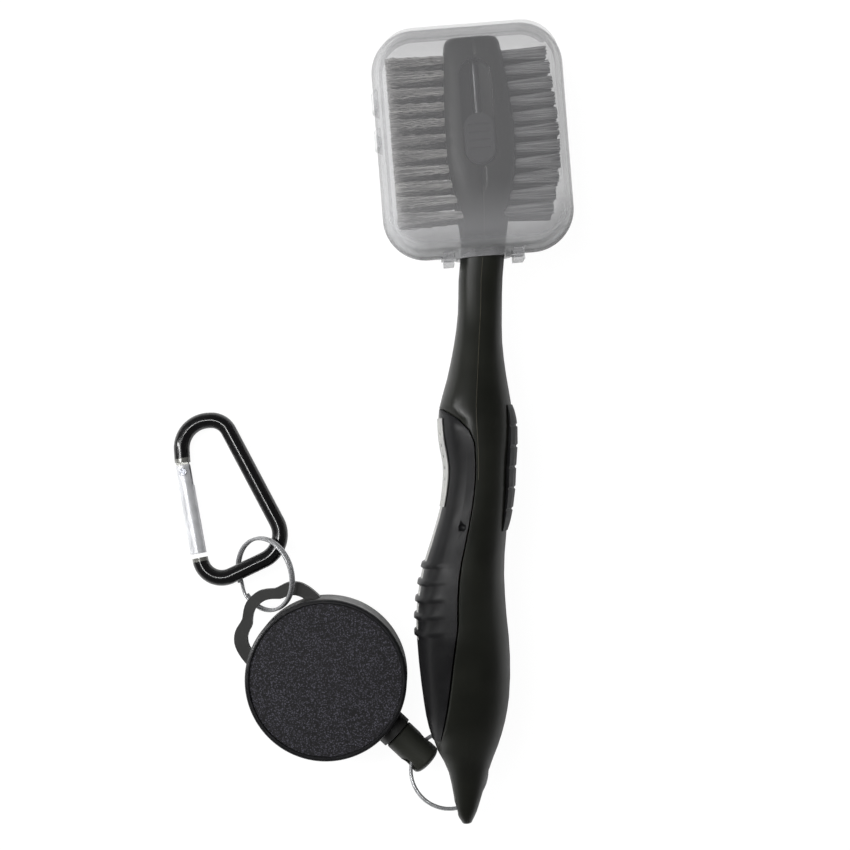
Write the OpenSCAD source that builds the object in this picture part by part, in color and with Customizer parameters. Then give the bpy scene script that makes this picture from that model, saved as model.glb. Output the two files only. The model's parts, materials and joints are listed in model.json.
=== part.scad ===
// Club groove brush with clip-on case, pull-cord reel and carabiner.
// Origin: centre of the case's flat back. +Y towards the head's tip, +Z up.
// The brush lies on its side, with its tufts pointing to -X and +X.

/* [Case] */
// Width of the closed case across the brush
case_w = 46; // [46:0.5:56]
// Length of the case along the brush
case_l = 55.5; // [55:0.5:62]
// Depth of each half shell
shell_h = 13.5; // [13:0.25:16]
// Corner radius of the case outline
case_corner = 10; // [6:0.5:13]
// Radius along the outer edge of each shell
case_edge = 5; // [2:0.25:6]
// Wall of the shells
case_wall = 1.2; // [0.8:0.1:1.8]
// Width lost to the draft of each side wall
case_draft = 0.8; // [0:0.1:1]
// Height of the bead round each rim
bead_h = 1.6; // [1:0.1:2.4]
// Reach of the bead outside the wall
bead_out = 0.6; // [0.3:0.1:1]
// Width of one hinge strap
strap_w = 4.2; // [3:0.1:7]
// Thickness of the hinge straps
strap_t = 0.5; // [0.3:0.05:0.8]

/* [Head] */
// Clearance between the head's tip and the case's end wall
head_gap = 2.55; // [2.05:0.25:5.05]
// Thickness of the head between its two broad faces
head_t = 18; // [17:0.25:19]
// Number of tuft rows along the head
tuft_rows = 11; // [8:1:12]
// Number of tuft columns across the head
tuft_cols = 4; // [2:1:4]
// Distance between tufts, both ways
tuft_pitch = 3.8; // [3:0.1:4]
// Diameter of a tuft where it leaves the head
tuft_d = 2.2; // [1.4:0.1:2.6]
// Clearance between the wire tufts and the case's side wall
wire_gap = 1.8; // [1.6:0.1:4]
// Clearance between the longest nylon tufts and the case's side wall
nylon_gap = 0.85; // [0.8:0.05:3]
// Spread of a nylon tuft at its tip
nylon_flare = 0.5; // [0:0.1:0.7]

/* [Pick] */
// Width of the slider's slot
slot_w = 8; // [6.5:0.25:8.5]
// Length of the slot
slot_l = 26; // [24:0.5:28]
// Depth of the slot
slot_deep = 4; // [3.5:0.25:5]
// Length of the thumb slider
slider_l = 12.6; // [10:0.2:14]
// Diameter of the steel pick
pick_d = 1.8; // [1.2:0.1:2.4]
// Travel of the slider
pick_travel = 5; // [3:0.5:5]

/* [Handle] */
// Width of the neck inside the case collar
neck_w = 11; // [10:0.25:12]
// Thickness of the neck
neck_t = 11.5; // [10.5:0.25:12.5]
// Width across the thumb rest
thumb_w = 18.6; // [17:0.25:20]
// Width of the palm swell
palm_w = 22.6; // [20:0.25:24]
// Thickness of the palm swell
palm_t = 26; // [22:0.5:26.5]
// Thickness of the soft grip
grip_t = 1.6; // [1.2:0.1:2]
// Height of the two ribbed pads above the handle
pad_t = 1.6; // [1:0.1:2]

/* [Tail ring] */
// Radius of the tail ring to the middle of its wire
tail_ring_r = 9.5; // [9:0.1:10]
// Diameter of one coil of ring wire
ring_wire = 0.9; // [0.8:0.05:1.2]
// Radius of the eye through the handle's tail
eye_r = 2; // [1.8:0.05:2.2]

/* [Reel] */
// Outer radius of the reel
reel_r = 20.1; // [18:0.1:21]
// Height of the reel from the table to its rim
reel_h = 13; // [11:0.25:15]
// Wall of the reel housing
reel_wall = 1.6; // [1.2:0.1:2.2]
// Height of the cover with its raised rim
cover_h = 2.4; // [2:0.1:3.2]
// Width of the raised rim round the face
rim_w = 1.1; // [0.8:0.1:2]
// Depth of the face below the rim
face_deep = 0.5; // [0.3:0.1:0.8]
// Sideways place of the cord from the reel's centre
cord_off = 1.8; // [1:0.1:4]
// Width of the cord nozzle
nozzle_w = 8.7; // [8:0.1:9.5]
// Diameter of the cord
cord_d = 1; // [0.6:0.1:1.4]
// Radius of the spool's winding core
core_r = 9; // [7:0.25:10]
// Radius of the spool's flanges
spool_r = 15.5; // [14:0.1:16]
// Width of the loop's bar
loop_bar = 2.9; // [2.4:0.1:3.2]
// Thickness of the loop
loop_t = 2.6; // [2.4:0.1:3.4]

/* [Connector] */
// Diameter of the connector sleeve
sleeve_d = 8; // [7.5:0.1:8.5]
// Length of the connector sleeve
sleeve_l = 10.9; // [10:0.1:12]
// Radius of the ring's hole through the sleeve
sleeve_hole_r = 2.1; // [2:0.05:2.3]

/* [Carabiner] */
// Diameter of the carabiner's rod
rod_d = 4; // [3.4:0.1:4.4]
// Length of the straight spine between its corners
spine_l = 36.3; // [34:0.1:40]
// Width of the bow between its corners
bow_w = 23.6; // [22:0.1:26]
// Radius of the reel's ring to the middle of its wire
reel_ring_r = 9.2; // [8.8:0.1:9.8]

/* [Fits] */
// Clearance of pieces that sit still in each other
fit = 0.1; // [0.05:0.05:0.2]
// Clearance of pieces that slide or turn in each other
run = 0.25; // [0.15:0.05:0.4]
// Radial clearance of a pin in its bore
pin_fit = 0.05; // [0.02:0.01:0.1]

/* [Hidden] */

$fn = 48;
mid_z = shell_h;             // parting plane of the case and of the brush
tiny = 0.01;

// ---------- general shapes ----------

// Rectangle with round corners, centred
module round_rect(w, l, r) {
    square([w - 2 * r, l], center = true);
    square([w, l - 2 * r], center = true);
    for (x = [-1, 1], y = [-1, 1])
        translate([x * (w / 2 - r), y * (l / 2 - r)])
            circle(r);
}

// Stadium from y0 to y1, centred on x
module stadium(x, y0, y1, w) {
    translate([x - w / 2, y0 + w / 2])
        square([w, y1 - y0 - w]);
    for (y = [y0 + w / 2, y1 - w / 2])
        translate([x, y])
            circle(d = w);
}

// Cylinder whose axis starts at p and runs along the unit vector v
module rod(p, v, l, r) {
    translate(p)
        rotate([0, acos(v[2]), atan2(v[1], v[0])])
            cylinder(h = l, r = r);
}

// Split ring of two stacked coils round the unit normal v
module split_ring(c, v, r, wire) {
    translate(c)
        rotate([0, acos(v[2]), atan2(v[1], v[0])])
            rotate_extrude($fn = 72)
                translate([r, 0]) {
                    for (s = [-1, 1])
                        translate([0, s * wire * 0.46])
                            circle(d = wire, $fn = 24);
                }
}

function unit(v) = v / norm(v);
function mix(a, b, t) = a + (b - a) * t;

// Smooth value between table rows: row[0] is the key, k the column
function find_row(t, y, i = 0) =
    i >= len(t) - 2 || y >= t[i + 1][0] ? i : find_row(t, y, i + 1);
function slope(t, i, k) =
    let (a = max(i - 1, 0), b = min(i + 1, len(t) - 1))
    (t[b][k] - t[a][k]) / (t[b][0] - t[a][0]);
function curve(t, y, k) =
    let (
        i = find_row(t, y),
        h = t[i + 1][0] - t[i][0],
        u = (y - t[i][0]) / h,
        m0 = slope(t, i, k) * h,
        m1 = slope(t, i + 1, k) * h
    )
    (2 * u ^ 3 - 3 * u ^ 2 + 1) * t[i][k] + (u ^ 3 - 2 * u ^ 2 + u) * m0
    + (3 * u ^ 2 - 2 * u ^ 3) * t[i + 1][k] + (u ^ 3 - u ^ 2) * m1;

// The same for a table whose keys go up
function curve_up(t, y, k) =
    curve([for (i = [len(t) - 1:-1:0]) t[i]], y, k);

// Faces that join rings of n points, first ring to last
function skin_faces(rings, n) = [
    for (i = [0:rings - 2], j = [0:n - 1])
        let (k = (j + 1) % n, a = i * n, b = a + n)
        each [[a + j, a + k, b + k], [a + j, b + k, b + j]]
];

// Solid through rings of points whose end caps are fans from point 0
module loft(rings) {
    n = len(rings[0]);
    last = (len(rings) - 1) * n;
    caps = [
        for (j = [1:n - 2])
            each [[0, j + 1, j], [last, last + j, last + j + 1]]
    ];
    polyhedron(
        points = [for (r = rings) each r],
        faces = concat(skin_faces(len(rings), n), caps),
        convexity = 6
    );
}

// Solid through rings made of an outer row and a returning inner row
module band_loft(rings) {
    n = len(rings[0]);
    h = n / 2;
    last = (len(rings) - 1) * n;
    caps = [
        for (j = [0:h - 2])
            let (p = j, q = j + 1, r = n - 2 - j, s = n - 1 - j)
            each [
                [p, s, r], [p, r, q],
                [last + p, last + r, last + s], [last + p, last + q, last + r]
            ]
    ];
    polyhedron(
        points = [for (r = rings) each r],
        faces = concat(skin_faces(len(rings), n), caps),
        convexity = 6
    );
}

// ---------- outline of head, neck and handle ----------

neck_y = -case_l / 2 - 1.25;  // where the neck leaves the case
head_top = case_l / 2 - case_wall - head_gap;
tail_y = -168;
head_drawn = 53;              // head length that the places below are given for
// Place along Y at distance d below the head's tip
function head_at(d) = head_top - d * (head_top - neck_y) / head_drawn;
head_x = 1.6;                 // the head leans a little to the nylon side
head_w = 17.4;

// place along Y, middle x, width, thickness, middle z, squareness
HANDLE = [
    [head_top, 1.3, 12.6, head_t - 1.6, mid_z, 5],
    [head_at(1.2), 1.3, 13.6, head_t, mid_z, 6],
    [head_at(8), 1.5, 15.4, head_t, mid_z, 6],
    [head_at(16), head_x, 16.8, head_t, mid_z, 6],
    [head_at(24), head_x + 0.1, head_w, head_t, mid_z, 6],
    [head_at(32), head_x, 16.8, head_t, mid_z, 6],
    [head_at(39), 1.3, 14.2, head_t - 1, mid_z, 5],
    [head_at(45), 1, 12, neck_t + 2.5, mid_z, 4],
    [head_at(50), 0.6, neck_w, neck_t, mid_z, 3.2],
    [-34, -0.7, neck_w - 0.1, neck_t, mid_z, 2.8],
    [-42, -1.5, neck_w - 0.1, neck_t + 1.2, mid_z, 2.6],
    [-50, -2.6, neck_w + 1, neck_t + 4, mid_z, 2.6],
    [-58, -3.6, neck_w + 3.6, neck_t + 7.5, mid_z, 2.6],
    [-66, -4.6, thumb_w - 0.6, 21.5, mid_z, 2.6],
    [-72, -4.8, thumb_w - 0.6, 22.4, mid_z, 2.6],
    [-80, -5.1, thumb_w - 2.6, 22.4, mid_z, 2.6],
    [-88, -6.3, thumb_w - 1.9, 22.4, mid_z, 2.6],
    [-96, -8.3, thumb_w - 0.3, 23.2, mid_z, 2.6],
    [-105, -10.7, palm_w - 2.2, palm_t - 1, mid_z, 2.6],
    [-115, -11.9, palm_w - 0.5, palm_t, mid_z, 2.6],
    [-125, -12, palm_w, palm_t, mid_z, 2.6],
    [-135, -12.2, palm_w - 1.1, palm_t - 3.5, mid_z, 2.6],
    [-142, -12.6, palm_w - 3.2, palm_t - 7, mid_z, 2.5],
    [-148, -12.9, palm_w - 6.8, 14.6, 13.4, 2.4],
    [-154, -13, palm_w - 12, 10.4, 12.6, 2.3],
    [-160, -13.6, 7.6, 8.2, 11.6, 2.3],
    [-165.5, -14.4, 5, 6.8, 11, 2.2],
    [tail_y, -14.5, 2.4, 4, 11, 2]
];
// stations of the loft, closer where the form turns faster
STATIONS = concat(
    [head_top, head_at(0.5), head_at(1.2)],
    [for (d = [4:4:36]) head_at(d)],
    [for (d = [39:3:54]) head_at(d)],
    [for (y = [-34:-4:-62]) y],
    [for (y = [-65:-3:-98]) y],
    [for (y = [-102:-5:-137]) y],
    [for (y = [-140:-3:-164]) y],
    [-165.5, -166.8, -167.6, tail_y]
);

// Point of the outer form at station y and angle a, grown outward by g;
// angle 0 faces +X and 90 faces +Z
function form(y, a, g = 0) =
    let (
        n = curve(HANDLE, y, 5),
        rx = curve(HANDLE, y, 2) / 2 + g,
        rz = curve(HANDLE, y, 3) / 2 + g,
        c = cos(a),
        s = sin(a),
        k = (abs(c) ^ n + abs(s) ^ n) ^ (-1 / n)
    )
    [curve(HANDLE, y, 1) + rx * k * c, y, curve(HANDLE, y, 4) + rz * k * s];

// Surface x of the head's side towards s, at its middle height
function side_x(y, s) = curve(HANDLE, y, 1) + s * curve(HANDLE, y, 2) / 2;

// Angle on the outer form whose point lies at place x on the front face
function face_angle(y, x) =
    let (
        rx = curve(HANDLE, y, 2) / 2,
        u = max(-0.995, min(0.995, (x - curve(HANDLE, y, 1)) / rx)),
        n = curve(HANDLE, y, 5),
        w = (1 - abs(u) ^ n) ^ (1 / n)
    )
    atan2(w, u);

// edge of the soft grip on the front face, as place along Y and x
GRIP_EDGE = [
    [-65, -13.4], [-67.3, -9.7], [-71.4, -6.3], [-76, -4.7],
    [-84, -4.1], [-92, -5.4], [-100, -8], [-108, -10.3],
    [-123, -14], [-137, -16.8], [-147, -19.5]
];
grip_y0 = -65;
grip_y1 = -147;
grip_end = 8;                 // half angle left to the grip at its two ends
grip_rim = 4;                 // degrees kept between the grip and the seam

function grip_angle(y) =
    y >= grip_y0 || y <= grip_y1
    ? 180 - grip_end
    : min(180 - grip_end, max(90 + grip_rim, face_angle(y, curve(GRIP_EDGE, y, 1))));
// depth of the grip's bed, running out at both ends
function grip_deep(y) =
    grip_t * max(0, min(1, (grip_y0 - y) / 3, (y - grip_y1) / 8));

// Half section on the wire side: round the front, the bed and the back
bed_steps = 12;
bare_steps = 8;
bed_draft = 2;                // degrees lost by the bed's side walls
function wire_ring(y) =
    let (g = grip_angle(y), d = grip_deep(y))
    concat(
        [for (i = [0:bare_steps]) form(y, mix(90, g, i / bare_steps))],
        [for (i = [0:bed_steps])
            form(y, mix(g + bed_draft, 360 - g - bed_draft, i / bed_steps), -d)],
        [for (i = [0:bare_steps]) form(y, mix(360 - g, 270, i / bare_steps))]
    );
function nylon_ring(y) =
    [for (i = [0:20]) form(y, mix(-90, 90, i / 20))];

module wire_side_loft() {
    loft([for (y = STATIONS) wire_ring(y)]);
}

module nylon_side_loft() {
    loft([for (y = STATIONS) nylon_ring(y)]);
}

// ---------- tufts ----------

tuft_deep = 2.4;              // how far a tuft is set into the head
tuft_top = head_at(4.5);      // place of the first row
function row_y(i) = tuft_top - tuft_pitch * i;
function col_z(j) = mid_z + tuft_pitch * (j - (tuft_cols - 1) / 2);

// Runs its children for the tufts of row i, with +Z along a tuft from its seat
module at_row(i, s) {
    for (j = [0:tuft_cols - 1])
        translate([side_x(row_y(i), s) - s * tuft_deep, row_y(i), col_z(j)])
            rotate([0, s * 90, 0])
                children();
}

module tuft_holes(s) {
    for (i = [0:tuft_rows - 1])
        at_row(i, s)
            cylinder(h = tuft_deep + 2, d = tuft_d + 2 * fit, $fn = 24);
}

// One tuft as a turned profile: straight root, spread and rounded tip
module tuft(free_l, flare) {
    r = tuft_d / 2;
    l = tuft_deep + free_l;
    rotate_extrude($fn = 24)
        polygon([
            [0, 0], [r, 0], [r, tuft_deep + 2], [r + flare, l - 0.6],
            [r + flare - 0.3, l], [0, l]
        ]);
}

// The wire tufts are cut to one straight line, the nylon ones to one length
wire_end = wire_gap + case_wall - case_w / 2;
nylon_l = case_w / 2 - case_wall - nylon_gap - side_x(head_at(24), 1);
module wire_tufts() {
    color("#6b6a68")
        for (i = [0:tuft_rows - 1])
            at_row(i, -1)
                tuft(side_x(row_y(i), -1) - wire_end, 0.2);
}

module nylon_tufts() {
    color("#8a8a8a")
        for (i = [0:tuft_rows - 1])
            at_row(i, 1)
                tuft(nylon_l, nylon_flare);
}

// ---------- pick and its slot ----------

slot_x = 1.5;                 // middle of slot, on the seam of the two halves
slot_y0 = head_at(31.4);
slot_y1 = slot_y0 + slot_l;
head_face = mid_z + head_t / 2;
slot_floor = head_face - slot_deep;
groove_w = 1.2;               // reach of the slider's two flanges
groove_h = 1.2;
groove_z = slot_floor + 0.4;
pick_z = slot_floor - 0.2;    // axis of the pick, half sunk in the floor
pick_tip = head_top - 3.6;

module slot_cut() {
    translate([0, 0, slot_floor])
        linear_extrude(slot_deep + 2)
            stadium(slot_x, slot_y0, slot_y1, slot_w);
    translate([0, 0, groove_z])
        linear_extrude(groove_h)
            stadium(slot_x, slot_y0 - groove_w, slot_y1 + groove_w,
                slot_w + 2 * groove_w);
    rod([slot_x, slot_y0 + 2, pick_z], [0, 1, 0], head_top - slot_y0,
        pick_d / 2 + run);
}

slider_y0 = slot_y0 + run;
slider_top = head_face + 0.6;
module slider_outline(inset) {
    stadium(slot_x, slider_y0 + inset, slider_y0 + slider_l - inset,
        slot_w - 2 * run - 2 * inset);
}

module pick_slider() {
    flange = slot_w + 2 * groove_w - 2 * run;
    color("#3a3a3b")
        difference() {
            union() {
                translate([0, 0, slot_floor + run])
                    linear_extrude(slider_top - slot_floor - run - 0.8)
                        slider_outline(0);
                translate([0, 0, slider_top - 0.8])
                    linear_extrude(0.8)
                        slider_outline(0.4);
                translate([slot_x - flange / 2, slider_y0 + slot_w / 2, groove_z + run])
                    cube([flange, slider_l - slot_w, groove_h - 2 * run]);
            }
            // cross ridges are the lands between these grooves
            for (i = [0:3])
                translate([slot_x - 2.6, slider_y0 + 3.4 + i * 1.9, slider_top - 0.5])
                    cube([5.2, 0.7, 2]);
            rod([slot_x, slider_y0 + 2, pick_z], [0, 1, 0], slider_l,
                pick_d / 2);
        }
}

point_l = 2.5;
point_r = 0.35;
module groove_pick() {
    root = slider_y0 + 2;
    l = pick_tip - root;
    color("#c9cacc")
        translate([slot_x, root, pick_z])
            rotate([-90, 0, 0])
                rotate_extrude()
                    polygon([
                        [0, 0], [pick_d / 2, 0], [pick_d / 2, l - point_l],
                        [point_r, l], [0, l]
                    ]);
}

// ---------- tail ring and its eye ----------

// The ring is placed from the connector: it passes through the sleeve at
// sleeve_p, leaves it towards ring_az and leans down under the handle
cord_z = reel_h / 2;
sleeve_p = [-25.8, -150.2, cord_z];
ring_az = 145.8;
eye_a = 141;                  // from the sleeve round the ring to the tail's eye
tail_ring_n = unit([0.075, 0.35, 0.935]);
tail_ring_u = unit([
    cos(ring_az), sin(ring_az),
    -(tail_ring_n[0] * cos(ring_az) + tail_ring_n[1] * sin(ring_az)) / tail_ring_n[2]
]);
tail_ring_v = cross(tail_ring_n, tail_ring_u);
tail_ring_c = sleeve_p - tail_ring_r * tail_ring_u;
// Point and direction of the tail ring at angle a from the sleeve
function ring_point(a) =
    tail_ring_c + tail_ring_r * (cos(a) * tail_ring_u + sin(a) * tail_ring_v);
function ring_tangent(a) = -sin(a) * tail_ring_u + cos(a) * tail_ring_v;

module tail_ring() {
    color("#d5d6d8")
        split_ring(tail_ring_c, tail_ring_n, tail_ring_r, ring_wire);
}

// Curved bore round the ring's own circle, so that the ring turns in it
eye_half = 50;                // degrees of the bore each way from its middle
module eye_cut() {
    u = tail_ring_u;
    v = tail_ring_v;
    w = tail_ring_n;
    c = tail_ring_c;
    multmatrix([
        [u[0], v[0], w[0], c[0]], [u[1], v[1], w[1], c[1]],
        [u[2], v[2], w[2], c[2]], [0, 0, 0, 1]
    ])
        rotate([0, 0, eye_a - eye_half])
            rotate_extrude(angle = 2 * eye_half, $fn = 72)
                translate([tail_ring_r, 0])
                    circle(r = eye_r, $fn = 32);
}

// ---------- handle pieces ----------

module wire_side_body() {
    color("#1d1e1c")
        difference() {
            wire_side_loft();
            tuft_holes(-1);
            slot_cut();
            eye_cut();
        }
}

module nylon_side_body() {
    color("#232420")
        difference() {
            nylon_side_loft();
            tuft_holes(1);
            slot_cut();
            eye_cut();
        }
}

// ---------- soft grip and pads ----------

grip_gap = 0.05;              // kept between a soft piece and its bed
tooth_h = 0.6;                // ribs on the soft grip's lower edge
tooth_pitch = 4.1;
tooth_y = -103;
tooth_count = 5;
tooth_half = 0.8;
tooth_last = tooth_y - tooth_pitch * (tooth_count - 1);

GRIP_STATIONS = concat(
    [grip_y0 - 0.3],
    [for (y = STATIONS) if (y < grip_y0 && y > tooth_y + 2) y],
    [for (i = [0:tooth_count - 1], s = [1, 0.55, -0.55, -1])
        tooth_y - tooth_pitch * i + s * tooth_half],
    [for (y = STATIONS) if (y < tooth_last - 2 && y > grip_y1) y]
);
// whether y lies on the flat top of a rib
function is_tooth(y) =
    let (t = (tooth_y - y) / tooth_pitch)
    t > -0.2 && t < tooth_count - 0.8
    && abs(t - round(t)) * tooth_pitch < 0.6 * tooth_half;
// ribs stand only on the hollow edge, which faces away from the palm
function tooth_lift(y, a) =
    is_tooth(y) && abs(a - 180) < 50 ? tooth_h : 0;

gate_mark_r = 1.1;
gate_mark = [-10.3, -94, form(-94, 104)[2] + 0.45];

function grip_ring(y) =
    let (
        g = grip_angle(y) + bed_draft + 0.4,
        d = max(0.15, grip_deep(y) - grip_gap),
        angles = [for (i = [0:bed_steps]) mix(g, 360 - g, i / bed_steps)]
    )
    concat(
        [for (a = angles) form(y, a, tooth_lift(y, a))],
        [for (i = [bed_steps:-1:0]) form(y, angles[i], -d)]
    );

module finger_grip() {
    color("#2b2b2b")
        difference() {
            band_loft([for (y = GRIP_STATIONS) grip_ring(y)]);
            // dimple left by the mould's gate
            translate(gate_mark)
                sphere(r = gate_mark_r);
        }
}

// Pad on the side of the handle that faces angle face, from y0 down to y1,
// crowned to height h and cut by n cross grooves
function crown(t) = sqrt(max(0.02, sin(180 * t)));
module raised_pad(face, half, y0, y1, h, n, base) {
    pitch = (y0 - y1) / (n + 1);
    groove = 0.3;             // half width of a groove
    groove_deep = 0.35;
    steps = 8;
    function pad_ring(y, cut) =
        let (
            rise = h * crown((y0 - y) / (y0 - y1)) - cut,
            angles = [for (i = [0:steps]) mix(face - half, face + half, i / steps)]
        )
        concat(
            [for (i = [0:steps])
                form(y, angles[i], max(base + 0.2, base + rise * crown(0.1 + 0.8 * i / steps)))],
            [for (i = [steps:-1:0]) form(y, angles[i], base)]
        );
    ends = [0.4, 1, 2, 3.2];
    plain = n > 0 ? [] : [for (y = [y0 - 5.2:-2:y1 + 4.4]) pad_ring(y, 0)];
    band_loft(concat(
        [pad_ring(y0, 0)],
        [for (e = ends) if (e < pitch) pad_ring(y0 - e, 0)],
        plain,
        [for (i = [1:1:n])
            let (y = y0 - pitch * i)
            each [
                pad_ring(y + 1.5 * groove, 0), pad_ring(y + groove / 2, groove_deep),
                pad_ring(y - groove / 2, groove_deep), pad_ring(y - 1.5 * groove, 0)
            ]
        ],
        [for (i = [len(ends) - 1:-1:0]) if (ends[i] < pitch) pad_ring(y1 + ends[i], 0)],
        [pad_ring(y1, 0)]
    ));
}

// smooth strip for the first finger, with a row of dimples at either edge
strip_y0 = -67.5;
strip_y1 = -89;
strip_h = 0.5;
dimple_y = -71.3;
dimple_pitch = 2.78;
dimple_n = 5;
dimple_a = 24;                // degrees from the strip's middle
dimple_r = 0.42;
dimple_deep = 0.45;
strip_half = 34;              // half angle that the strip spans
dimple_cut = 3;
module finger_pad() {
    color("#6c6c6c")
        difference() {
            raised_pad(180, strip_half, strip_y0, strip_y1, strip_h, 0, grip_gap);
            for (i = [0:dimple_n - 1], s = [-1, 1]) {
                y = dimple_y - dimple_pitch * i;
                p = form(y, 180 + s * dimple_a, strip_h - dimple_deep + 0.1);
                rod(p, [-cos(dimple_a), 0, -s * sin(dimple_a)], dimple_cut, dimple_r);
            }
        }
}

// ribbed pad for the thumb, on the palm's side
thumb_y0 = -65.5;
thumb_y1 = -96;
thumb_half = 38;
thumb_grooves = 5;
module thumb_pad() {
    color("#3c3c3e")
        raised_pad(0, thumb_half, thumb_y0, thumb_y1, pad_t, thumb_grooves, grip_gap);
}

// ---------- case ----------

seam = mid_z;
hinge_x = -case_w / 2 - bead_out - 0.4;
strap_ys = [11, 1.8];         // middles of the two hinge straps
neck_x = curve(HANDLE, -case_l / 2, 1);
neck_gap = 0.3;
neck_corner = 4;
collar_out = 1.2;
face_trim = 0.2;              // skin cut off to make the broad faces flat

// Solid under a shell's outer skin, standing on the seam, shrunk by wall
module shell_form(wall) {
    r = case_corner - wall;
    e = max(0.6, case_edge - wall);
    h = shell_h + face_trim - wall * (1 + face_trim / case_wall);
    hull()
        for (x = [-1, 1], y = [-1, 1])
            translate([x * (case_w / 2 - case_corner), y * (case_l / 2 - case_corner)])
                rotate_extrude($fn = 32)
                    polygon(concat(
                        [[0, 0], [r, 0]],
                        [for (a = [0:15:90])
                            [r - case_draft - e + e * cos(a), h - e + e * sin(a)]],
                        [[0, h]]
                    ));
}

// Profile of the neck's passage, grown by g
module neck_outline(g) {
    round_rect(neck_w + 2 * (neck_gap + g), neck_t + 2 * (neck_gap + g),
        neck_corner + g);
}

// Half shell standing up from z = 0, with rim bead and half a neck collar
module half_shell() {
    end_y = -case_l / 2;
    difference() {
        union() {
            difference() {
                shell_form(0);
                translate([0, 0, -tiny])
                    shell_form(case_wall);
            }
            linear_extrude(bead_h / 2)
                difference() {
                    round_rect(case_w + 2 * bead_out, case_l + 2 * bead_out,
                        case_corner + bead_out);
                    round_rect(case_w - case_wall, case_l - case_wall,
                        case_corner - case_wall / 2);
                }
            intersection() {
                translate([neck_x, end_y + case_wall, 0])
                    rotate([90, 0, 0])
                        linear_extrude(case_wall + collar_out)
                            neck_outline(case_wall);
                translate([-case_w, -case_l, 0])
                    cube([2 * case_w, case_l, shell_h]);
            }
        }
        translate([neck_x, end_y + 8, 0])
            rotate([90, 0, 0])
                linear_extrude(16)
                    neck_outline(0);
        translate([-case_w, -case_l, shell_h])
            cube([2 * case_w, 2 * case_l, face_trim + 1]);
    }
}

// snap hooks beside the neck: arms on the front shell, ledges on the back
hook_w = 2.6;
hook_t = 1.3;
hook_gap = 1.8;               // from the neck to a hook
hook_off = neck_w / 2 + hook_gap + hook_w / 2;
hook_xs = [neck_x - hook_off, neck_x + hook_off];
hook_y = -case_l / 2 - bead_out - 0.75;
ledge_h = 0.8;
ledge_top = seam - 1.6;
barb = 0.6;

module hook_arms() {
    for (x = hook_xs)
        translate([x - hook_w / 2, 0, 0]) {
            translate([0, hook_y - hook_t, ledge_top - 2 * ledge_h - 0.1])
                cube([hook_w, hook_t, seam + 7 - ledge_top + 2 * ledge_h]);
            translate([0, hook_y - hook_t, seam + 3.5])
                cube([hook_w, -case_l / 2 - hook_y + hook_t + 0.4, 3.5]);
            // barb under the back shell's ledge
            translate([0, hook_y - tiny, ledge_top - 2 * ledge_h - 0.1])
                cube([hook_w, barb + tiny, ledge_h]);
            // rounded foot of the arm
            translate([0, hook_y - hook_t / 2, ledge_top - 2 * ledge_h - 0.1])
                rotate([0, 90, 0])
                    cylinder(h = hook_w, d = hook_t);
        }
}

module ledges() {
    for (x = hook_xs)
        translate([x - hook_w / 2 - 0.4, hook_y + 0.15, ledge_top - ledge_h])
            cube([hook_w + 0.8, -case_l / 2 - hook_y + 0.25, ledge_h]);
}

module case_back() {
    color("#d9dadd", 0.55) {
        translate([0, 0, seam])
            mirror([0, 0, 1])
                half_shell();
        ledges();
    }
}

// tongue of the front shell that locates it in the back shell's rim
tongue_t = 0.6;
tongue_h = 1;
module tongue() {
    in = case_wall + 0.25;
    difference() {
        union() {
            translate([0, 0, seam - tongue_h])
                linear_extrude(tongue_h + 1.2)
                    rim_ring(in, in + tongue_t);
            translate([0, 0, seam + 0.2])
                linear_extrude(1)
                    rim_ring(case_wall - 0.3, in + tongue_t);
        }
        translate([neck_x, -case_l / 2 + 8, seam])
            rotate([90, 0, 0])
                linear_extrude(16)
                    neck_outline(0.2);
        // the tongue stops beside the nylon tufts
        translate([side_x(head_at(24), 1), row_y(tuft_rows), seam - 2 * tongue_h])
            cube([case_w, tuft_top + tuft_pitch - row_y(tuft_rows), 4 * tongue_h]);
    }
}

module rim_ring(a, b) {
    difference() {
        round_rect(case_w - 2 * a, case_l - 2 * a, case_corner - a);
        round_rect(case_w - 2 * b, case_l - 2 * b, case_corner - b);
    }
}

module case_front() {
    color("#e4e5e8", 0.5) {
        translate([0, 0, seam])
            half_shell();
        tongue();
        hook_arms();
    }
}

// Two thin straps over the seam: the clamshell's living hinge, each with a
// round bead along its end on the front shell
strap_half = 7.5;
strap_bow = 2.2;              // half height of the part that bends
bead_d = 1;
module hinge_straps() {
    lean = case_draft * strap_half / (shell_h - case_edge);
    root_x = -case_w / 2 + lean - 0.05;
    out_x = hinge_x - 0.1;
    color("#dcdde0")
        for (y = strap_ys)
            translate([0, y + strap_w / 2, seam])
                rotate([90, 0, 0])
                    linear_extrude(strap_w) {
                        polygon([
                            [root_x, -strap_half], [out_x + strap_t, -strap_bow + 0.6],
                            [out_x + strap_t, strap_bow - 0.6], [root_x, strap_half],
                            [root_x - strap_t, strap_half], [out_x, strap_bow],
                            [out_x, -strap_bow], [root_x - strap_t, -strap_half]
                        ]);
                        translate([root_x - bead_d / 2, strap_half - 0.3])
                            circle(d = bead_d, $fn = 24);
                    }
}

// ---------- reel ----------

cord_az = -47.7;              // the cord leaves the reel this way
nozzle_x = reel_r + 2.25;     // end of the nozzle, from the reel's centre
sleeve_gap = 0.3;
sleeve_x = nozzle_x + sleeve_gap;
sleeve_hole = 6.35;           // from the sleeve's near end to the ring
reel_c = sleeve_p - (sleeve_x + sleeve_hole) * [cos(cord_az), sin(cord_az), 0]
    - cord_off * [-sin(cord_az), cos(cord_az), 0] - [0, 0, cord_z];

// Puts its children in the reel's own frame: +X along the cord
module at_reel() {
    translate(reel_c)
        rotate([0, 0, cord_az])
            children();
}

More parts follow.
